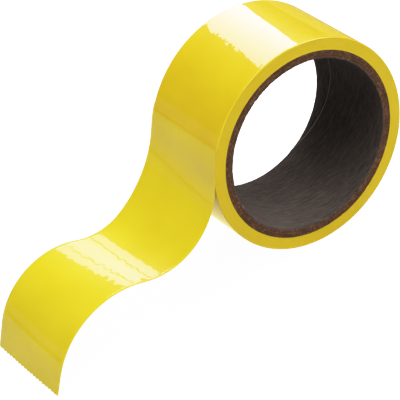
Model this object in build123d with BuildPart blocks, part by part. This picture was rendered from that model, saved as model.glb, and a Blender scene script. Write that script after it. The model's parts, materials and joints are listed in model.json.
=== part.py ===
"""Roll of glossy yellow film tape on a spiral-wound paperboard core, its free end drawn off.

Frame: millimetres, +Z up. The origin is the middle of the core's bore, half way across the
tape. The roll stands on its tread with its axis along Y, and the free end lies towards -X,
where its cut edge touches the surface that the roll stands on.
"""

import os
from math import asin, cos, degrees, pi, radians, sin, tan

from build123d import *

# Roll and core
bore_radius = 38.1  # a 3 inch core
liner_thickness = 0.4
body_ply_thickness = 0.5
body_ply_count = 6
wrap_thickness = 0.3  # the thin outer ply that the tape is wound on
roll_radius = 47.25
tape_width = 48.0
film_thickness = 0.1

# Paper strips of the core, wound as a helix with a small gap where their edges meet
strip_width = 64.0
seam_gap = 0.3
liner_seam_angle = 198.0  # where the liner's seam starts on the near end, in degrees
seam_stagger = 137.5  # from each ply's seam to the next one's, in degrees

# Free end of the tape, as seen along +Y: it leaves the roll at take_off_angle, swings away
# from it, dips into a valley, rises over an arch and runs straight down to its cut edge
take_off_angle = 167.0
stuck_turn = 20.0  # the part that still lies on the roll, before the take-off line
peel_clearance = 0.15
swing_radius = 42.5
swing_turn = 47.0
valley_radius = 28.6
valley_turn = 50.0
arch_radius = 35.0
arch_turn = 85.5
segment_count = 5
flex_gap = 0.2  # between two strips, where the film flexes
tooth_pitch = 2.4
tooth_depth = 0.8

core_radius = bore_radius + liner_thickness + body_ply_count * body_ply_thickness + wrap_thickness
tail_radius = roll_radius + peel_clearance + film_thickness / 2  # centre of the stuck film

os.makedirs("parts", exist_ok=True)


def save(part, name):
    """Label one finished piece and write it as its own STEP file."""
    part.label = name
    export_step(part, f"parts/{name}.step")


def seam_cutter(inner_radius, thickness, start_angle):
    """The thin helical gap between the edges of one ply's strip, as a twisted solid."""
    middle_radius = inner_radius + thickness / 2
    wind_angle = asin(strip_width / (2 * pi * middle_radius))
    lead = 2 * pi * middle_radius * tan(wind_angle)
    overrun = 1.0
    length = tape_width + 2 * overrun
    cut_angle = radians(start_angle + 360 * overrun / lead)
    outward = (cos(cut_angle), 0, sin(cut_angle))
    near_end = Plane(origin=(0, -length / 2, 0), x_dir=outward, z_dir=(0, 1, 0))
    with BuildSketch(near_end) as gap:
        with Locations((middle_radius, 0)):
            Rectangle(2 * thickness, seam_gap / sin(wind_angle))
    return Solid.extrude_linear_with_rotation(
        gap.sketch.face(), near_end.origin, (0, length, 0), 360 * length / lead
    )


def paper_ply(inner_radius, thickness, start_angle):
    """One helically wound ply of the core: a thin tube with its open butt seam."""
    seam = seam_cutter(inner_radius, thickness, start_angle)
    with BuildPart() as ply:
        with BuildSketch(Plane.XZ):
            Circle(inner_radius + thickness)
            Circle(inner_radius, mode=Mode.SUBTRACT)
        extrude(amount=tape_width / 2, both=True)
        add(seam, mode=Mode.SUBTRACT)
    return ply.part


# Core, from the dark liner outwards
save(paper_ply(bore_radius, liner_thickness, liner_seam_angle), "core_liner_ply")
ply_radius = bore_radius + liner_thickness
for number in range(1, body_ply_count + 1):
    seam_angle = liner_seam_angle + number * seam_stagger
    save(paper_ply(ply_radius, body_ply_thickness, seam_angle), f"core_body_ply_{number}")
    ply_radius += body_ply_thickness
wrap_seam_angle = liner_seam_angle + (body_ply_count + 1) * seam_stagger
save(paper_ply(ply_radius, wrap_thickness, wrap_seam_angle), "core_outer_wrap")

# Wound tape: all the turns that are still on the roll
with BuildPart() as wound_tape:
    with BuildSketch(Plane.XZ):
        Circle(roll_radius)
        Circle(core_radius, mode=Mode.SUBTRACT)
    extrude(amount=tape_width / 2, both=True)
save(wound_tape.part, "wound_tape")

# Centre line of the free end, as arcs (turn per mm, length) from the take-off line. A
# positive turn bends it the way the roll does
take_off = Vector(tail_radius * cos(radians(take_off_angle)), tail_radius * sin(radians(take_off_angle)))
arcs = [
    (-1 / swing_radius, swing_radius * radians(swing_turn)),
    (-1 / valley_radius, valley_radius * radians(valley_turn)),
    (1 / arch_radius, arch_radius * radians(arch_turn)),
]


def arc_end(point, heading, bend, length):
    """The point and heading at the far end of an arc of the centre line."""
    turned = heading + bend * length
    across = Vector(sin(turned) - sin(heading), cos(heading) - cos(turned))
    return point + across * (1 / bend), turned


point = take_off
heading = radians(take_off_angle + 90)
arc_ends = []  # distance of each arc's end from the take-off line
for bend, length in arcs:
    point, heading = arc_end(point, heading, bend, length)
    arc_ends.append(length + sum(arc_ends[-1:]))
floor_z = -roll_radius + film_thickness / 2 * abs(cos(heading))
straight_length = (floor_z - point.Y) / sin(heading)
free_length = arc_ends[-1] + straight_length
segment_length = free_length / segment_count


def centre_at(distance):
    """Point and heading on the free end's centre line, at a distance from the take-off line."""
    point, heading = take_off, radians(take_off_angle + 90)
    for bend, length in arcs:
        step = min(distance, length)
        if step > 0:
            point, heading = arc_end(point, heading, bend, step)
        distance -= step
    if distance > 0:
        point += Vector(cos(heading), sin(heading)) * distance
    return point, heading


def centre_edges(start, end):
    """The arcs and the straight of the centre line between two distances."""
    cuts = [start] + [c for c in arc_ends if start < c < end] + [end]
    for low, high in zip(cuts, cuts[1:]):
        first, _ = centre_at(low)
        last, _ = centre_at(high)
        if low >= arc_ends[-1]:
            Line(first, last)
        else:
            middle, _ = centre_at((low + high) / 2)
            ThreePointArc(first, middle, last)


# The film that is still stuck to the roll, just before the take-off line
with BuildPart() as stuck_lead:
    with BuildSketch(Plane.XZ):
        with BuildLine():
            gap_angle = degrees(flex_gap / 2 / tail_radius)
            CenterArc((0, 0), tail_radius, take_off_angle - stuck_turn, stuck_turn - gap_angle)
        trace(line_width=film_thickness)
    extrude(amount=tape_width / 2, both=True)
save(stuck_lead.part, "tape_stuck_lead")


def film_strip(start, end):
    """A strip of the free film between two distances from the take-off line."""
    with BuildPart() as strip:
        with BuildSketch(Plane.XZ):
            with BuildLine():
                centre_edges(start, end)
            trace(line_width=film_thickness)
        extrude(amount=tape_width / 2, both=True)
    return strip.part


# Free end: equal strips, then the last one with its pinked cut
for number in range(1, segment_count):
    start = (number - 1) * segment_length
    strip = film_strip(start + flex_gap / 2, start + segment_length - flex_gap / 2)
    save(strip, f"tape_tail_{number}")

end_point, end_heading = centre_at(free_length)
along = (cos(end_heading), 0, sin(end_heading))
cut_plane = Plane(origin=(end_point.X, 0, end_point.Y), x_dir=(0, 1, 0), z_dir=(along[2], 0, -along[0]))
tooth_count = round(tape_width / tooth_pitch)
last_strip = film_strip(free_length - segment_length + flex_gap / 2, free_length)
with BuildPart() as cut_end:
    add(last_strip)
    with BuildSketch(cut_plane):
        with GridLocations(tooth_pitch, 1, tooth_count, 1):
            Polygon((-tooth_pitch / 2, 0), (0, -tooth_depth), (tooth_pitch / 2, 0), align=None)
    extrude(amount=film_thickness, both=True, mode=Mode.SUBTRACT)
save(cut_end.part, f"tape_tail_{segment_count}")

print("core radius", round(core_radius, 3), "free length", round(free_length, 2))
for number in range(segment_count):
    pivot, _ = centre_at(number * segment_length)
    print("flex line", number, round(pivot.X, 3), round(pivot.Y, 3))
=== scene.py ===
"""Looks of a roll of glossy yellow film tape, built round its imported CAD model.

Lengths are in millimetres and angles in degrees up to the last step of each mesh, which
scales them to metres. The axis of the roll is +Y, +Z is up and the free end lies towards -X.
Angles round the roll run from +X towards +Z.
"""

import json

import bpy
import numpy as np
from mathutils import Matrix, Vector

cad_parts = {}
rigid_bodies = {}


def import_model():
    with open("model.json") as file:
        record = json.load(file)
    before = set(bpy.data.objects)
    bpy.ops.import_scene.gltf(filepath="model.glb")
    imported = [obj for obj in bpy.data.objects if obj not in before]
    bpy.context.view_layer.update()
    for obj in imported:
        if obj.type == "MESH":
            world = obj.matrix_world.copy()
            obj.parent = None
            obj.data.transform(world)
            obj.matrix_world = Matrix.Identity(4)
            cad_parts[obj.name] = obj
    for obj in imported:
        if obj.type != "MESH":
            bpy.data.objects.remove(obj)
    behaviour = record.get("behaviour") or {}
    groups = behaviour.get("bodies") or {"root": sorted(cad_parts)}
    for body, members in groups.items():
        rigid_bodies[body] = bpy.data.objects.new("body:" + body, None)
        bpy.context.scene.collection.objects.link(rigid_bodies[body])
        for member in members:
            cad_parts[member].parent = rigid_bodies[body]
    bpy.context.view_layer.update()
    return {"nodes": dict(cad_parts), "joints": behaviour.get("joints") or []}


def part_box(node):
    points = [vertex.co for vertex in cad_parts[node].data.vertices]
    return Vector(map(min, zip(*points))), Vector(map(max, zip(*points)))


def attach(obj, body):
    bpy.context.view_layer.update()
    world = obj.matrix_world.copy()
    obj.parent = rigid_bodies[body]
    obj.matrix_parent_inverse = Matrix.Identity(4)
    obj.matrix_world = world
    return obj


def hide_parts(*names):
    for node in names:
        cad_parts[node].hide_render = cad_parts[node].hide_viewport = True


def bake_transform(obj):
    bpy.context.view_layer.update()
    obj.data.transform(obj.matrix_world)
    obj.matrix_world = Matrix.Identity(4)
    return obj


MM = 0.001
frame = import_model()


# Sizes that the CAD model holds
def ring_radii(node):
    """Inner and outer radius of a CAD node that lies round the axis, in millimetres."""
    radii = [np.hypot(v.co.x, v.co.z) / MM for v in frame["nodes"][node].data.vertices]
    return float(min(radii)), float(max(radii))


core_radius, roll_radius = ring_radii("wound_tape")
half_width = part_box("wound_tape")[1].y / MM
floor_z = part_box("wound_tape")[0].z
flex_lines = [joint for joint in frame["joints"] if joint["parent"] != "roll"]
film_thickness = 0.1
ply_count = 6

# Free end, as its near and its far edge. Each leaves the roll at an angle and then follows
# arcs, given as (radius, turn); a positive turn bends it the way the roll does
stuck_from = 150.0
near_leaves = 171.1
far_leaves = 163.3
near_arcs = [(32.7, -50.5), (31.1, -49.5), (37.8, 84.5)]
far_arcs = [(52.4, -44.2), (26.1, -50.8), (33.1, 89.6)]
easing = 7.0  # over this length one curve turns into the next
film_lift = 0.02  # of the lead's top over the wound tape
tuck_depth = 0.03
tuck_length = 6.0
tooth_pitch = 2.4
tooth_depth = 0.8
curl_width = 1.5  # the slit edges of the free film turn down a little
curl_depth = 0.25
free_from = 30.0  # over a length from here the film goes from wound to free
free_over = 25.0

# Where the small waves are strongest, in degrees round the roll and on along the free end
ridge_place, ridge_spread = 106, 8
crest_place, crest_spread = 251, 14

# Paper strips of the core
strip_width = 64.0
liner_seam_angle = 198.0
seam_stagger = 137.5
seam_width = 0.25


def smoothstep(x):
    """0 below 0, 1 above 1, and a smooth rise between them."""
    x = np.clip(x, 0, 1)
    return x * x * (3 - 2 * x)


# Meshes
def build_mesh(name, points, faces, uvs, material_index, materials, normals=None):
    """A mesh object from points in millimetres; uvs and normals are given per face corner."""
    mesh = bpy.data.meshes.new(name)
    mesh.from_pydata((np.asarray(points) * MM).tolist(), [], np.asarray(faces).tolist())
    mesh.polygons.foreach_set("material_index", np.asarray(material_index, np.int32))
    mesh.polygons.foreach_set("use_smooth", np.ones(len(faces), bool))
    layer = mesh.uv_layers.new(name="film_mm")
    layer.data.foreach_set("uv", np.asarray(uvs, np.float32).ravel())
    for material in materials:
        mesh.materials.append(material)
    mesh.update()
    if normals is not None:
        mesh.normals_split_custom_set(np.asarray(normals, float).reshape(-1, 3).tolist())
    piece = bpy.data.objects.new(name, mesh)
    bpy.context.scene.collection.objects.link(piece)
    return piece


def grid_quads(rows, columns):
    """Corner numbers of the quads of a grid whose points are numbered row by row."""
    row, column = np.meshgrid(np.arange(rows - 1), np.arange(columns - 1), indexing="ij")
    first = (row * columns + column).ravel()
    return np.stack([first, first + 1, first + columns + 1, first + columns], axis=1)


def unit(vectors):
    """Vectors of length 1 in the same directions."""
    return vectors / np.linalg.norm(vectors, axis=-1, keepdims=True)


def closed_shell(name, top, bottom, top_normals, uv, materials):
    """A thin closed shell between two grids of points.

    Materials are for the top, the bottom and the rim. The quads of the top grid run
    anticlockwise as seen from outside.
    """
    rows, columns = top.shape[:2]
    points = np.concatenate([top.reshape(-1, 3), bottom.reshape(-1, 3)])
    count = rows * columns
    skin = grid_quads(rows, columns)
    back = skin[:, ::-1] + count
    number = np.arange(count).reshape(rows, columns)
    border = np.concatenate([number[0, :], number[1:, -1], number[-1, -2::-1], number[-2:0:-1, 0]])
    following = np.roll(border, -1)
    rim = np.stack([following, border, border + count, following + count], axis=1)
    faces = np.concatenate([skin, back, rim])
    spread = np.tile(uv.reshape(-1, 2), (2, 1))
    flat = top_normals.reshape(-1, 3)
    edge_a = points[rim[:, 1]] - points[rim[:, 0]]
    edge_b = points[rim[:, 3]] - points[rim[:, 0]]
    rim_normals = np.repeat(unit(np.cross(edge_a, edge_b))[:, None, :], 4, axis=1)
    normals = np.concatenate([flat[skin], -flat[back - count], rim_normals])
    index = np.concatenate([np.full(len(f), i) for i, f in enumerate((skin, back, rim))])
    return build_mesh(name, points, faces, spread[faces], index, materials, normals)


def turned_ring(name, radii, heights, face_index, materials, uv_across, segments):
    """A closed ring from a loop of profile points that may differ from angle to angle.

    radii and heights have one row for each angle, and one column for each profile point.
    """
    angles = ring_angles(segments)[:, None]
    points = np.stack([radii * np.cos(angles), heights, radii * np.sin(angles)], axis=-1)
    across = radii.shape[1]
    row, column = np.meshgrid(np.arange(segments), np.arange(across), indexing="ij")
    next_row, next_column = (row + 1) % segments, (column + 1) % across
    corners = [(row, column), (row, next_column), (next_row, next_column), (next_row, column)]
    faces = np.stack([(r * across + c).ravel() for r, c in corners], axis=1)
    along = [(row + step) * (2 * np.pi / segments) - np.pi / 2 for step in (0, 0, 1, 1)]
    side = [uv_across[column], uv_across[column + 1], uv_across[column + 1], uv_across[column]]
    uvs = np.stack([np.stack([a * roll_radius, s], axis=-1) for a, s in zip(along, side)], axis=2)
    index = np.tile(face_index, segments)
    return build_mesh(name, points.reshape(-1, 3), faces, uvs.reshape(-1, 2), index, materials)


def ring_angles(segments):
    """Angles of a ring's rows in radians, from the bottom of the roll."""
    return np.arange(segments) * (2 * np.pi / segments) - np.pi / 2


# Small waves of the film, the same on the roll and on the free end
def film_waves(seed, shortest, longest, slope, count=48):
    """(turns round the roll, waves per mm across, height, phase) of each small wave."""
    random = np.random.default_rng(seed)
    length = np.exp(random.uniform(np.log(shortest), np.log(longest), count))
    direction = random.uniform(0, np.pi, count)
    round_roll = np.round(2 * np.pi * roll_radius * np.cos(direction) / length)
    across = np.sin(direction) / length
    height = slope * length / (2 * np.pi) * np.sqrt(2 / count)
    return np.stack([round_roll, across, height, random.uniform(0, 2 * np.pi, count)], axis=1)


fine_waves = film_waves(11, 1.7, 3.6, slope=0.015)
broad_waves = film_waves(12, 3.5, 7.0, slope=0.010)


def wave_strengths(arc, free):
    """How strong the fine and the broad waves are along the film; free is 1 off the roll."""
    angle = np.degrees(arc / roll_radius)
    ridge = (1 - free) * np.exp(-(((angle - ridge_place) / ridge_spread) ** 2))
    crest = free * np.exp(-(((angle - crest_place) / crest_spread) ** 2))
    fine = 0.2 + 0.5 * ridge - 0.1 * free
    broad = 0.25 + 0.55 * ridge + 0.4 * crest
    return fine, broad


def ripple(arc, y, free):
    """Height of the film's small waves and its slopes along and across the film."""
    height, slope_along, slope_across = (np.zeros(np.broadcast(arc, y).shape) for _ in range(3))
    for waves, strength in zip((fine_waves, broad_waves), wave_strengths(arc, free)):
        for round_roll, across, size, phase in waves:
            along = round_roll / roll_radius
            wave = along * arc + 2 * np.pi * across * y + phase
            height += strength * size * np.sin(wave)
            slope_along += strength * size * along * np.cos(wave)
            slope_across += strength * size * 2 * np.pi * across * np.cos(wave)
    return height, slope_along, slope_across


# Free end: a surface ruled between its two edges
fine_step = 0.1
longest = 150.0
fine_s = np.arange(0, longest, fine_step)


def column_line(y):
    """One line along the film's top: its x, z and heading at each value of fine_s."""
    share = (y + half_width) / (2 * half_width)
    leaves = near_leaves + (far_leaves - near_leaves) * share
    film_radius = roll_radius + film_lift
    place = film_radius * np.radians(leaves - stuck_from)
    bends, changes = [1 / film_radius], [place]
    for near, far in zip(near_arcs, far_arcs):
        radius, turn = (n + (f - n) * share for n, f in zip(near, far))
        bends.append(np.sign(turn) / radius)
        changes.append(changes[-1] + radius * np.radians(abs(turn)))
    bends.append(0.0)
    bend = np.full(fine_s.shape, bends[0])
    for before, after, change in zip(bends, bends[1:], changes):
        bend += (after - before) * smoothstep((fine_s - change) / easing + 0.5)
    start = np.radians(stuck_from)
    middles = (bend[1:] + bend[:-1]) / 2
    heading = start + np.pi / 2 + np.concatenate([[0], np.cumsum(middles) * fine_step])
    half = (heading[1:] + heading[:-1]) / 2
    x = film_radius * np.cos(start) + np.concatenate([[0], np.cumsum(np.cos(half)) * fine_step])
    z = film_radius * np.sin(start) + np.concatenate([[0], np.cumsum(np.sin(half)) * fine_step])
    return x, z, heading


def floor_length(y):
    """Length along the film at which its line meets the floor."""
    x, z, _ = column_line(y)
    below = np.argmax(z < floor_z / MM)
    share = (z[below - 1] - floor_z / MM) / (z[below - 1] - z[below])
    return fine_s[below - 1] + share * fine_step


def film_surface(s, y):
    """Top points, outward normals and uv of the film at a grid of (s, y)."""
    points, along = (np.zeros(s.shape + (3,)) for _ in range(2))
    for column in range(s.shape[1]):
        x, z, heading = (np.interp(s[:, column], fine_s, c) for c in column_line(y[column]))
        points[:, column] = np.stack([x, np.full(x.shape, y[column]), z], axis=1)
        along[:, column] = np.stack([np.cos(heading), 0 * x, np.sin(heading)], axis=1)
    across = np.gradient(points, y, axis=1, edge_order=2)
    across -= along * np.sum(across * along, axis=2, keepdims=True)
    normals = unit(np.cross(across, along))
    arc = s + roll_radius * np.radians(stuck_from)
    free = smoothstep((s - free_from) / free_over)
    height, slope_along, slope_across = ripple(arc, y[None, :], free)
    lift = (film_lift + tuck_depth) * smoothstep(s / tuck_length) - tuck_depth - film_lift
    inwards = np.clip(1 - (half_width - np.abs(y)) / curl_width, 0, 1)
    lift = lift - free * curl_depth * inwards**2
    slope_across += free * -2 * curl_depth / curl_width * inwards * np.sign(y)
    tilted = unit(normals - slope_along[..., None] * along - slope_across[..., None] * unit(across))
    uv = np.stack([arc, np.broadcast_to(y, s.shape)], axis=-1)
    return points + normals * (height + lift)[..., None], normals, tilted, uv


# Materials
def new_material(name):
    """A material, its node tree and its Principled shader."""
    material = bpy.data.materials.new(name)
    material.use_nodes = True
    return material, material.node_tree, material.node_tree.nodes["Principled BSDF"]


def add_node(tree, kind, inputs=(), **settings):
    """A shader node with its settings; inputs maps a socket to a value or to another socket."""
    node = tree.nodes.new(kind)
    for name, value in settings.items():
        setattr(node, name, value)
    for socket, value in dict(inputs).items():
        if isinstance(value, bpy.types.NodeSocket):
            tree.links.new(value, node.inputs[socket])
        else:
            node.inputs[socket].default_value = value
    return node


def film_coordinates(tree, scale):
    """Coordinates along and across the film in millimetres, times a scale for each."""
    uv = add_node(tree, "ShaderNodeUVMap", uv_map="film_mm")
    scaled = {0: uv.outputs[0], 1: (scale[0], scale[1], 1)}
    return add_node(tree, "ShaderNodeVectorMath", scaled, operation="MULTIPLY").outputs[0]


def noise(tree, coordinates, detail=3.0, roughness=0.5, scale=1.0):
    """Noise from 0 to 1 at coordinates."""
    sockets = {"Vector": coordinates, "Scale": scale, "Detail": detail, "Roughness": roughness}
    return add_node(tree, "ShaderNodeTexNoise", sockets).outputs[0]


def ranged(tree, value, low, high, to_low, to_high):
    """A value spread from low..high over to_low..to_high."""
    sockets = {0: value, 1: low, 2: high, 3: to_low, 4: to_high}
    return add_node(tree, "ShaderNodeMapRange", sockets).outputs[0]


def mixed(tree, factor, first, second):
    """A colour between two others, each a socket or three numbers."""
    a, b = ((c if isinstance(c, bpy.types.NodeSocket) else (*c, 1)) for c in (first, second))
    node = add_node(tree, "ShaderNodeMix", {0: factor, 6: a, 7: b}, data_type="RGBA")
    return node.outputs[2]


def bump(tree, height, depth, strength=1.0):
    """A bump of some depth in millimetres from a height of 0 to 1."""
    sockets = {"Height": height, "Distance": depth * MM, "Strength": strength}
    return add_node(tree, "ShaderNodeBump", sockets).outputs[0]


def radius_mm(tree):
    """Distance from the roll's axis in millimetres."""
    place = add_node(tree, "ShaderNodeTexCoord").outputs["Object"]
    flat = add_node(tree, "ShaderNodeVectorMath", {0: place, 1: (1, 0, 1)}, operation="MULTIPLY")
    length = add_node(tree, "ShaderNodeVectorMath", {0: flat.outputs[0]}, operation="LENGTH")
    sockets = {0: length.outputs["Value"], 1: 1 / MM}
    return add_node(tree, "ShaderNodeMath", sockets, operation="MULTIPLY").outputs[0]


def ring_noise(tree, scale, detail):
    """Noise from 0 to 1 that changes only with the distance from the roll's axis."""
    sockets = {"W": radius_mm(tree), "Scale": scale, "Detail": detail}
    return add_node(tree, "ShaderNodeTexNoise", sockets, noise_dimensions="1D").outputs[0]


def film_material(name, pale, deep):
    """Glossy coloured film: a sharp clear gloss over a softer one, with faint calender lines."""
    material, tree, shader = new_material(name)
    clouds = noise(tree, film_coordinates(tree, (0.05, 0.05)), 2.0)
    lines = noise(tree, film_coordinates(tree, (0.03, 1.6)), 4.0)
    grain = noise(tree, film_coordinates(tree, (2.5, 2.5)), 2.0)
    colour = mixed(tree, ranged(tree, clouds, 0.3, 0.7, 0, 1), pale, deep)
    tree.links.new(colour, shader.inputs["Base Color"])
    tree.links.new(ranged(tree, lines, 0.3, 0.7, 0.3, 0.42), shader.inputs["Roughness"])
    shader.inputs["Coat Roughness"].default_value = 0.03
    shader.inputs["Specular IOR Level"].default_value = 0.08
    shader.inputs["Coat Weight"].default_value = 1.0
    shader.inputs["Coat IOR"].default_value = 1.36
    relief = bump(tree, grain, 0.0008, 0.4)
    tree.links.new(relief, shader.inputs["Normal"])
    tree.links.new(relief, shader.inputs["Coat Normal"])
    return material


def adhesive_material():
    """The film's back: the same yellow under a tacky coat with a soft, uneven shine."""
    material, tree, shader = new_material("film_adhesive")
    blotches = noise(tree, film_coordinates(tree, (0.2, 0.2)), 5.0, 0.6)
    grain = noise(tree, film_coordinates(tree, (3.0, 3.0)), 3.0)
    pale, deep = (0.80, 0.62, 0.04), (0.70, 0.52, 0.03)
    colour = mixed(tree, ranged(tree, blotches, 0.3, 0.7, 0, 1), pale, deep)
    tree.links.new(colour, shader.inputs["Base Color"])
    tree.links.new(ranged(tree, blotches, 0.3, 0.7, 0.35, 0.55), shader.inputs["Roughness"])
    shader.inputs["Specular IOR Level"].default_value = 0.4
    tree.links.new(bump(tree, grain, 0.02, 0.6), shader.inputs["Normal"])
    return material


def winding_side_material():
    """The edges of the wound turns: satin yellow with fine concentric lines."""
    material, tree, shader = new_material("film_edges")
    turns = ring_noise(tree, 4.0, 4.0)
    place = add_node(tree, "ShaderNodeTexCoord").outputs["Object"]
    smudges = noise(tree, place, 4.0, 0.6, 90.0)
    pale, deep, smudged = (0.76, 0.56, 0.014), (0.68, 0.49, 0.010), (0.62, 0.44, 0.010)
    colour = mixed(tree, ranged(tree, turns, 0.3, 0.7, 0, 1), pale, deep)
    darker = mixed(tree, ranged(tree, smudges, 0.45, 0.75, 0, 0.35), colour, smudged)
    tree.links.new(darker, shader.inputs["Base Color"])
    tree.links.new(ranged(tree, smudges, 0.3, 0.7, 0.38, 0.5), shader.inputs["Roughness"])
    shader.inputs["Specular IOR Level"].default_value = 0.25
    tree.links.new(bump(tree, turns, 0.02, 0.5), shader.inputs["Normal"])
    return material


def liner_material():
    """Charcoal liner paper: mottled, with pale fibres, and frayed along its lifted edge."""
    material, tree, shader = new_material("liner_paper")
    mottle = noise(tree, film_coordinates(tree, (0.5, 0.45)), 6.0, 0.7)
    fibres = noise(tree, film_coordinates(tree, (1.5, 1.0)), 4.0, 0.7)
    specks = noise(tree, film_coordinates(tree, (1.6, 1.6)), 2.0)
    dark, pale = (0.034, 0.025, 0.020), (0.108, 0.089, 0.077)
    base = mixed(tree, ranged(tree, mottle, 0.35, 0.65, 0, 1), dark, pale)
    fibred = mixed(tree, ranged(tree, fibres, 0.5, 0.7, 0, 0.4), base, (0.15, 0.127, 0.11))
    specked = mixed(tree, ranged(tree, specks, 0.64, 0.74, 0, 0.8), fibred, (0.24, 0.21, 0.185))
    along = add_node(tree, "ShaderNodeSeparateXYZ", {0: film_coordinates(tree, (1, 1))}).outputs[0]
    frayed = mixed(tree, ranged(tree, along, 0.9, 2.0, 0.5, 0), specked, (0.26, 0.22, 0.19))
    tree.links.new(frayed, shader.inputs["Base Color"])
    shader.inputs["Roughness"].default_value = 0.8
    shader.inputs["Specular IOR Level"].default_value = 0.04
    tree.links.new(bump(tree, fibres, 0.12, 0.7), shader.inputs["Normal"])
    return material


def board_material(name, tone):
    """Brown core board of one ply, as it shows at the cut end: layered and fibrous."""
    material, tree, shader = new_material(name)
    place = add_node(tree, "ShaderNodeTexCoord").outputs["Object"]
    layers = ring_noise(tree, 6.0, 3.0)
    fibres = noise(tree, place, 5.0, 0.65, 900.0)
    patches = noise(tree, place, 3.0, 0.5, 160.0)
    dark, pale = (tuple(share * channel for channel in tone) for share in (0.45, 2.2))
    colour = mixed(tree, ranged(tree, layers, 0.35, 0.65, 0, 1), dark, tone)
    flecked = mixed(tree, ranged(tree, fibres, 0.5, 0.7, 0, 0.8), colour, pale)
    stained = mixed(tree, ranged(tree, patches, 0.45, 0.7, 0, 0.6), flecked, dark)
    tree.links.new(stained, shader.inputs["Base Color"])
    shader.inputs["Roughness"].default_value = 0.85
    shader.inputs["Specular IOR Level"].default_value = 0.1
    tree.links.new(bump(tree, fibres, 0.06, 0.7), shader.inputs["Normal"])
    return material


wound_film = film_material("film_wound", (0.80, 0.575, 0.014), (0.75, 0.525, 0.011))
# The free end's copy of the film is paler and less deep than the wound one: painted light and
# painted sheen on the same film.
free_film_painted_sheen = film_material("film_free_painted_sheen", (0.80, 0.62, 0.018), (0.75, 0.58, 0.014))
adhesive = adhesive_material()
film_edges = winding_side_material()


def uneven(angles, seed, count=36):
    """A periodic uneven line round the roll, with an average of 0 and a spread of about 1."""
    random = np.random.default_rng(seed)
    line = np.zeros_like(angles)
    for _ in range(count):
        turns = int(np.exp(random.uniform(np.log(2), np.log(140))))
        line += np.sin(turns * angles + random.uniform(0, 2 * np.pi)) * np.sqrt(2 / count)
    return line


# Wound tape
def make_winding():
    """The tread and the sides of the wound tape, where every turn shows as a ring."""
    segments, tread_columns = 720, 95
    bevel, support, rim_reach = 0.45, 0.1, 0.8
    turn_scatter, turn_drift, sway_size = 0.012, 0.012, 0.006
    turns = round((roll_radius - core_radius) / film_thickness)
    angles = ring_angles(segments)[:, None]
    reach, edge = half_width - rim_reach, half_width - bevel
    inner_columns = np.linspace(-reach, reach, tread_columns)
    turn = np.radians([22.5, 45, 67.5, 90])
    rounding, drop = bevel * np.sin(turn), bevel * (1 - np.cos(turn))
    inner = np.concatenate([[-edge, -edge + support], inner_columns, [edge - support, edge]])
    tread = np.concatenate([-edge - rounding[::-1], inner, edge + rounding])
    rim_drop = np.concatenate([drop[::-1], np.zeros(len(inner)), drop])
    tread_radii = roll_radius - rim_drop + ripple(angles * roll_radius, tread[None, :], 0.0)[0]
    rings = core_radius + (np.arange(turns) + 0.5) * (roll_radius - bevel - core_radius) / turns
    random = np.random.default_rng(5)

    def side_depth():
        """How far each turn's edge lies inside the roll's side, for every angle."""
        drift = np.convolve(random.normal(0, 1, turns + 8), np.ones(9) / 3, "valid")
        steps = turn_scatter * random.normal(0, 1, turns) + turn_drift * drift
        sway = sway_size * uneven(ring_angles(segments), int(random.integers(1000)), 8)
        depth = steps[None, :] + sway[:, None] * np.linspace(0, 1, turns)[None, :]
        depth = depth - depth.min()
        depth[:, 0] = depth[:, -1] = 0
        return depth

    far, near = side_depth()[:, ::-1], side_depth()
    wide = np.ones((segments, 1))
    bore, end = wide * core_radius, wide * half_width
    radii = [tread_radii, wide * rings[::-1], bore, bore, wide * rings]
    heights = [wide * tread, half_width - far, end, -end, near - half_width]
    radii, heights = np.concatenate(radii, axis=1), np.concatenate(heights, axis=1)
    change = (np.diff(line[0], append=line[0, 0]) for line in (radii, heights))
    uv_across = np.concatenate([[0], np.cumsum(np.hypot(*change))]) - edge
    face_index = np.ones(radii.shape[1], int)
    face_index[: len(tread)] = 0
    face_index[-1] = 0
    materials = [wound_film, film_edges]
    piece = turned_ring("tape_winding", radii, heights, face_index, materials, uv_across, segments)
    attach(piece, "roll")
    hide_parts("wound_tape")


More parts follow.
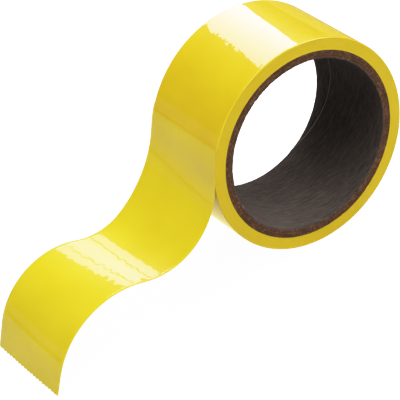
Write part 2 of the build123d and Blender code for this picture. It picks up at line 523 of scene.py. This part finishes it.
# Free end
def make_film():
    """The free end, as pieces that run from half way before a flex line to half way past it.

    Only the cut end is attached to a tail body; the other pieces are not attached to any.
    """
    middle_x, middle_z, _ = column_line(0.0)

    def s_of(place):
        """Distance along the film of the point of its middle line that is nearest to a place."""
        return fine_s[np.argmin(np.hypot(middle_x - place[0] / MM, middle_z - place[2] / MM))]

    end = floor_length(0.0)
    flex = [s_of(joint["pos_m"]) for joint in flex_lines]
    cuts = [0.0] + [(a + b) / 2 for a, b in zip(flex, flex[1:] + [end])]
    row_step, column_step = 0.5, 0.5

    def film_piece(name, first, last):
        """A piece of film between two lengths, with close columns where its edges curl."""
        rows = np.linspace(first, last, round((last - first) / row_step) + 1)
        flat = half_width - curl_width
        y = np.linspace(-flat, flat, round(2 * flat / column_step) + 1)
        rim = flat + curl_width * np.array([0.25, 0.5, 0.75, 1.0])
        y = np.concatenate([-rim[::-1], y, rim])
        s = np.repeat(rows[:, None], len(y), axis=1)
        return shell_from(name, s, y)

    def cut_end(name, first):
        """The last piece, whose edge was cut by a toothed blade."""
        random = np.random.default_rng(3)
        fine_columns = 8
        columns = round(2 * half_width / tooth_pitch) * fine_columns
        y = np.linspace(-half_width, half_width, columns + 1)
        place = np.abs((y + half_width) / tooth_pitch % 1 - 0.5) * 2
        teeth = len(y) // fine_columns
        tooth_places = np.linspace(-half_width, half_width, teeth)
        size = np.interp(y, tooth_places, random.uniform(0.5, 1.1, teeth))
        notch = tooth_depth * (1 - place) * size
        lengths = np.array([floor_length(column) for column in y])
        rows = np.linspace(0, 1, 41)[:, None]
        s = first + rows * (lengths - first)[None, :]
        s -= notch[None, :] * np.clip((rows - 0.85) / 0.15, 0, 1)
        return shell_from(name, s, y)

    def shell_from(name, s, y):
        """A closed piece of film on a grid of (s, y)."""
        top, flat_normals, normals, uv = film_surface(s, y)
        bottom = top - flat_normals * film_thickness
        piece = closed_shell(name, top, bottom, normals, uv, [free_film_painted_sheen, adhesive, adhesive])
        return piece

    lead = film_piece("film_lead", cuts[0], cuts[1])
    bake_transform(lead)
    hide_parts("tape_stuck_lead")
    for number in range(1, len(flex)):
        first, last = cuts[number], cuts[number + 1]
        bend = film_piece(f"film_bend_{number}", first, last)
        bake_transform(bend)
        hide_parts(f"tape_tail_{number}")
    last_piece = cut_end("film_cut_end", cuts[-1])
    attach(last_piece, f"tail_{len(flex)}")
    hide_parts(f"tape_tail_{len(flex)}")
    print("film from the tuck to the cut", round(end, 2))


# Core: one ring for each ply, with its seam
def seam_angle(number, y):
    """Angle in radians of a ply's seam at a place along the axis; ply 0 is the liner."""
    radius = bore_middle + number * (core_radius - bore_middle) / (ply_count + 1)
    wind = np.arcsin(strip_width / (2 * np.pi * radius))
    lead = 2 * np.pi * radius * np.tan(wind)
    start = liner_seam_angle + number * seam_stagger
    return np.radians(start) - 2 * np.pi * (y + half_width) / lead


def make_ply(node, number, tone):
    """A body ply or the outer wrap: its cut ends are a little uneven and fuzzy."""
    inner, outer = ring_radii(node)
    segments, across = 480, 5
    sway, fuzz_depth, crown_depth = 0.05, 0.02, 0.04
    notch_depth, notch_reach = 0.3, 0.45  # where the seam comes out at the end
    angles = ring_angles(segments)
    radial = np.linspace(inner, outer, across)
    crown = crown_depth * (2 * (radial - (inner + outer) / 2) / (outer - inner)) ** 2

    def end_depth(side):
        """How far the ply's end lies inside the core's end."""
        seed = 10 * number + (side > 0)
        slow = sway * uneven(angles, seed)[:, None] + sway
        fuzz = fuzz_depth * np.random.default_rng(seed).normal(0, 1, (segments, across))
        away = np.angle(np.exp(1j * (angles - seam_angle(number, side * half_width)))) * outer
        seam = notch_depth * np.exp(-((away / notch_reach) ** 2))[:, None]
        return np.clip(slow + fuzz + crown + seam, 0, None)

    wide = np.ones((segments, 1))
    radii = np.concatenate([wide * radial[::-1], wide * radial], axis=1)
    far, near = half_width - end_depth(1)[:, ::-1], end_depth(-1) - half_width
    heights = np.concatenate([far, near], axis=1)
    uv_across = np.arange(radii.shape[1] + 1) * (outer - inner) / across
    materials = [board_material(f"board_{number}", tone)]
    face_index = np.zeros(radii.shape[1], int)
    name = f"paper_{node}"
    piece = turned_ring(name, radii, heights, face_index, materials, uv_across, segments)
    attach(piece, "roll")
    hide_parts(node)


def make_liner():
    """The liner: a strip wound edge to edge, one edge lifted a little at the seam."""
    inner, outer = ring_radii("core_liner_ply")
    beside = 3.0  # length with close rows at each edge of the strip
    lift, lift_over = 0.24, 1.6
    sink, sink_over = 0.05, 1.2
    tear_depth, tear_angle, tear_spread = 0.5, 2.0, 1.5
    ragged_over = 1.5
    seam_side, rest = np.linspace(0, beside, 9), 2 * np.pi * inner - beside
    round_mm = np.concatenate([seam_side, np.linspace(beside, rest, 232)[1:-1], rest + seam_side])
    gap = seam_width * 2 * np.pi * inner / strip_width
    share = round_mm / round_mm[-1]
    y = np.linspace(-half_width, half_width, 97)
    start = seam_angle(0, y)[None, :] - gap / 2 / inner
    angles = start - share[:, None] * (2 * np.pi - gap / inner)
    lifted = lift * (1 - smoothstep(round_mm / lift_over))
    lifted -= sink * smoothstep(1 - (round_mm[-1] - round_mm) / sink_over)
    paper = 0.012 * np.random.default_rng(8).normal(0, 1, angles.shape)
    radii = inner - lifted[:, None] + paper
    tear = np.degrees(np.angle(np.exp(1j * (angles - np.radians(tear_angle)))))
    torn = tear_depth * np.exp(-((tear / tear_spread) ** 2))
    near_ragged = 0.05 + 0.16 * np.abs(uneven(angles, 4)) + torn
    far_ragged = 0.05 + 0.06 * np.abs(uneven(angles, 6))
    near_pull = np.clip(1 - (y + half_width) / ragged_over, 0, 1) * near_ragged
    far_pull = np.clip(1 - (half_width - y) / ragged_over, 0, 1) * far_ragged
    heights = y[None, :] + near_pull - far_pull
    top = np.stack([radii * np.cos(angles), heights, radii * np.sin(angles)], axis=-1)
    bottom = np.stack([outer * np.cos(angles), heights, outer * np.sin(angles)], axis=-1)
    along, across = np.gradient(top, axis=0), np.gradient(top, axis=1)
    normals = unit(np.cross(across, along))
    uv = np.stack(np.meshgrid(round_mm, y, indexing="ij"), axis=-1)
    paper_look = liner_material()
    piece = closed_shell("paper_core_liner", top, bottom, normals, uv, [paper_look] * 3)
    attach(piece, "roll")
    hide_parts("core_liner_ply")


bore_middle = ring_radii("core_liner_ply")[0]
make_winding()
make_film()
make_liner()
board_tone = (0.138, 0.068, 0.037)
for number in range(1, ply_count + 1):
    shade = 1.0 + 0.12 * np.sin(2.4 * number)
    make_ply(f"core_body_ply_{number}", number, tuple(shade * channel for channel in board_tone))
make_ply("core_outer_wrap", ply_count + 1, (0.09, 0.05, 0.03))


# Camera
def make_camera(azimuth, elevation, roll, looks_at, distance, lens):
    """A camera that looks at a point; roll turns the picture about its line of sight."""
    a, e, turn = np.radians([azimuth, elevation, roll])
    back = Vector((np.sin(a) * np.cos(e), -np.cos(a) * np.cos(e), np.sin(e)))
    level = Vector((0, 0, 1)).cross(back).normalized()
    right = level * np.cos(turn) + back.cross(level) * np.sin(turn)
    data = bpy.data.cameras.new("camera")
    data.lens = lens
    data.sensor_width = 36
    camera = bpy.data.objects.new("camera", data)
    axes = Matrix((right, back.cross(right), back)).transposed()
    place = (Vector(looks_at) + back * distance) * MM
    camera.matrix_world = Matrix.Translation(place) @ axes.to_4x4()
    bpy.context.scene.collection.objects.link(camera)
    bpy.context.scene.camera = camera


make_camera(-25.63, 34.39, -14.61, looks_at=(-40.9, 5.4, -18.8), distance=937, lens=200)


# Studio
def softbox(name, centre, faces, long_side, size, radiance, mirrored=True):
    """A rectangular light at centre that faces a point; all lengths are in millimetres."""
    back = (Vector(centre) - Vector(faces)).normalized()
    across = back.cross(Vector(long_side)).normalized()
    light = bpy.data.lights.new(name, "AREA")
    light.shape = "RECTANGLE"
    light.size, light.size_y = size[0] * MM, size[1] * MM
    light.energy = radiance * np.pi * light.size * light.size_y
    lamp = bpy.data.objects.new(name, light)
    axes = Matrix((across.cross(back), across, back)).transposed()
    lamp.matrix_world = Matrix.Translation(Vector(centre) * MM) @ axes.to_4x4()
    lamp.visible_camera = False
    lamp.visible_glossy = mirrored
    bpy.context.scene.collection.objects.link(lamp)


def make_floor(lights, mirrored, seen):
    """A plain pale table that glows, so that it looks white and still lights the roll softly.

    The three values are its glow as it lights things, in reflections and to the camera.
    """
    material, tree, shader = new_material("floor")
    grain = noise(tree, add_node(tree, "ShaderNodeTexCoord").outputs["Object"], 3.0, 0.5, 6.0)
    colour = mixed(tree, grain, (0.34, 0.34, 0.34), (0.36, 0.36, 0.36))
    tree.links.new(colour, shader.inputs["Base Color"])
    shader.inputs["Roughness"].default_value = 1.0
    shader.inputs["Specular IOR Level"].default_value = 0.0
    shader.inputs["Emission Color"].default_value = (1, 1, 1, 1)
    path = add_node(tree, "ShaderNodeLightPath")
    indirect = ranged(tree, path.outputs["Is Diffuse Ray"], 0, 1, mirrored, lights)
    extra = ranged(tree, path.outputs["Is Camera Ray"], 0, 1, 0, seen - mirrored)
    glow = add_node(tree, "ShaderNodeMath", {0: indirect, 1: extra}, operation="ADD").outputs[0]
    tree.links.new(glow, shader.inputs["Emission Strength"])
    bpy.ops.mesh.primitive_plane_add(size=12, location=(0, 0, floor_z))
    floor = bpy.context.object
    floor.name = "floor"
    floor.data.materials.append(material)


def make_world(radiance, seen):
    """A dim studio that looks pale where the camera sees it past the floor."""
    world = bpy.data.worlds.new("studio")
    world.use_nodes = True
    tree = world.node_tree
    background = tree.nodes["Background"]
    background.inputs["Color"].default_value = (1, 1, 1, 1)
    camera_ray = add_node(tree, "ShaderNodeLightPath").outputs["Is Camera Ray"]
    tree.links.new(ranged(tree, camera_ray, 0, 1, radiance, seen), background.inputs["Strength"])
    bpy.context.scene.world = world


def set_tones():
    """Plain colours with a soft shoulder, so that highlights keep a tint."""
    settings = bpy.context.scene.view_settings
    settings.view_transform = "Standard"
    settings.use_curve_mapping = True
    mapping = settings.curve_mapping
    brightest = 2.0
    mapping.white_level = [brightest] * 3
    curve = mapping.curves[3]
    curve.points[0].location = (0, 0)
    curve.points[1].location = (1, 1)
    for level, shown in ((0.35, 0.35), (0.7, 0.7), (1.0, 0.87), (1.4, 0.955)):
        curve.points.new(level / brightest, shown)
    mapping.update()


def card(name, centre, faces, long_side, outlines, radiance, tint=(1, 0.77, 0.97)):
    """Flat cards in one plane that only reflections see; a radiance of 0 is black.

    Each outline is in millimetres along the long side and across it, from the centre. The
    radiance runs from a first value to a second one along the long side. The usual tint keeps
    the reflections on the yellow film from looking green.
    """
    across = Vector(long_side).cross(Vector(faces) - Vector(centre)).normalized()
    along = across.cross((Vector(centre) - Vector(faces)).normalized())
    corners = [corner for outline in outlines for corner in outline]
    points = [(Vector(centre) + along * a + across * b) * MM for a, b in corners]
    starts = np.cumsum([0] + [len(outline) for outline in outlines])
    faces_of = [list(range(a, b)) for a, b in zip(starts, starts[1:])]
    material, tree, shader = new_material(name)
    shader.inputs["Base Color"].default_value = (0, 0, 0, 1)
    shader.inputs["Specular IOR Level"].default_value = 0.0
    shader.inputs["Emission Color"].default_value = (*tint, 1)
    mesh = bpy.data.meshes.new(name)
    mesh.from_pydata(points, [], faces_of)
    mesh.materials.append(material)
    reach = [a for a, _ in corners]
    layer = mesh.uv_layers.new(name="reach")
    for loop in mesh.loops:
        layer.data[loop.index].uv = (corners[loop.vertex_index][0], 0)
    uv = add_node(tree, "ShaderNodeUVMap", uv_map="reach")
    place = add_node(tree, "ShaderNodeSeparateXYZ", {0: uv.outputs[0]}).outputs[0]
    glow = ranged(tree, place, min(reach), max(reach), *radiance)
    tree.links.new(glow, shader.inputs["Emission Strength"])
    piece = bpy.data.objects.new(name, mesh)
    piece.visible_camera = False
    piece.visible_shadow = False
    piece.visible_diffuse = False
    bpy.context.scene.collection.objects.link(piece)


make_floor(lights=0.0, mirrored=0.2, seen=1.6)
make_world(radiance=0.06, seen=2.0)

# The strip whose reflection crosses the top of the roll, and the one that crosses the free
# end: each is cut so that only one of the two reflects it
roll_strip = [[(-205, -62), (-108, -28), (30, -7), (128, -9), (215, 24), (290, 60), (-110, 70)]]
card("roll_strip", (202, 470, 358), (-3, 0, 47), (-0.879, 0.071, 0.472), roll_strip, (13.0, 9.5))
tail_strip = [
    [(40, -14), (172, 57), (110, 53), (45, 20), (-35, -40), (-25, -62)],
    [(41, 22), (-60, -8), (-150, -40), (-150, -120), (-80, -90), (-39, -38)],
]
card("tail_strip", (211, 457, 228), (-90, 0, -18), (-0.798, 0.222, 0.561), tail_strip, (4.6, 6.8))

# A dim yellow flag beside the roll, a glowing sheet under it, a dim backdrop with a dark gap
# under it, and a broad strip for the bright line along the near rim
floor_mm = floor_z / MM
flag = [[(-170, -5600), (5600, -5600), (5600, 180), (-170, 180)]]
card("flag", (230, 220, 2 + floor_mm), (230, 220, 100), (1, 0, 0), flag, (0.6, 0.6), (1, 0.8, 0.25))
underlay = [[(-40, -45), (30, -45), (30, 40), (-40, 40)]]
under_roll = (-35, 0, 0.1 + floor_mm)
card("underlay", under_roll, (-35, 0, 100), (1, 0, 0), underlay, (1.55, 1.55), (1, 0.86, 0.4))
backdrop = [[(-600, -50), (400, -50), (400, 50), (-600, 50)]]
card("backdrop", (-600, 500, 60), (-600, 0, 60), (1, 0, 0), backdrop, (0.32, 0.32))
gap = [[(-600, -7), (400, -7), (400, 7), (-600, 7)]]
card("gap", (-600, 498, 3), (-600, 0, 3), (1, 0, 0), gap, (0.0, 0.0))

rim_strip = [[(-650, -330), (150, -330), (150, 330), (-650, 330)]]
card("rim_strip", (650, -420, 610), (0, 0, 0), (-0.12, -0.83, -0.54), rim_strip, (16.0, 16.0))

softbox("overhead", (-100, -250, 1500), (-40, 0, 0), (1, 0, 0), (1300, 1000), 4.45)
softbox("front", (100, -1150, 450), (0, 0, 0), (1, 0, 0), (700, 170), 19.5, mirrored=False)
softbox("right", (700, -450, 800), (0, 0, 0), (0, 1, 0), (300, 300), 8.0)
softbox("left", (-1000, 0, 250), (-60, 0, 0), (0, 1, 0), (200, 800), 7.3)
softbox("back", (500, 700, 450), (0, 0, 0), (1, -1, 0), (500, 300), 17.0, mirrored=False)
set_tones()
